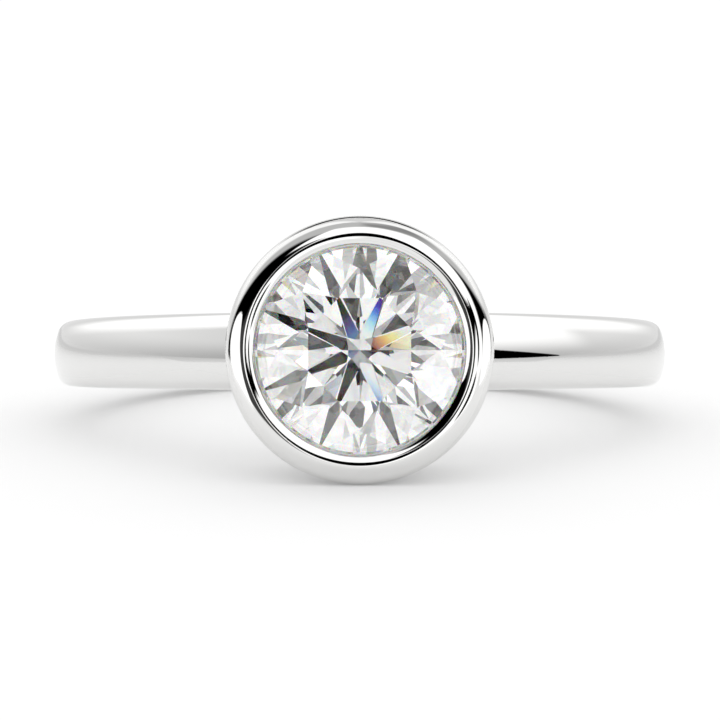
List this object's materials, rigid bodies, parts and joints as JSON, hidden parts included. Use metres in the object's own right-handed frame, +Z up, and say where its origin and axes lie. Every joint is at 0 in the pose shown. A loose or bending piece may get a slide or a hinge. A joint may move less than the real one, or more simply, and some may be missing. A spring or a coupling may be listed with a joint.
{
  "type": "bezel-set solitaire engagement ring",
  "caption": "Plain domed band with a round brilliant stone held in a smooth tapered cup, open underneath; the ring lies on its side as it rests by itself.",
  "frame": {"origin": "on the ground under the middle of the ring's box, with the ring lying on its side at rest", "axes": "+Z up; -Y is the way the stone's table looks, leaning up by the rest angle of 8.29 degrees; X across the finger hole"},
  "size_m": [0.0198, 0.023, 0.0078],
  "materials": {
    "white_gold": "mirror-polished white gold with a rhodium flash",
    "diamond": "polished facets, colourless"
  },
  "bodies": {
    "root": {"mounting": "white_gold", "stone": "diamond"}
  },
  "joints": []
}
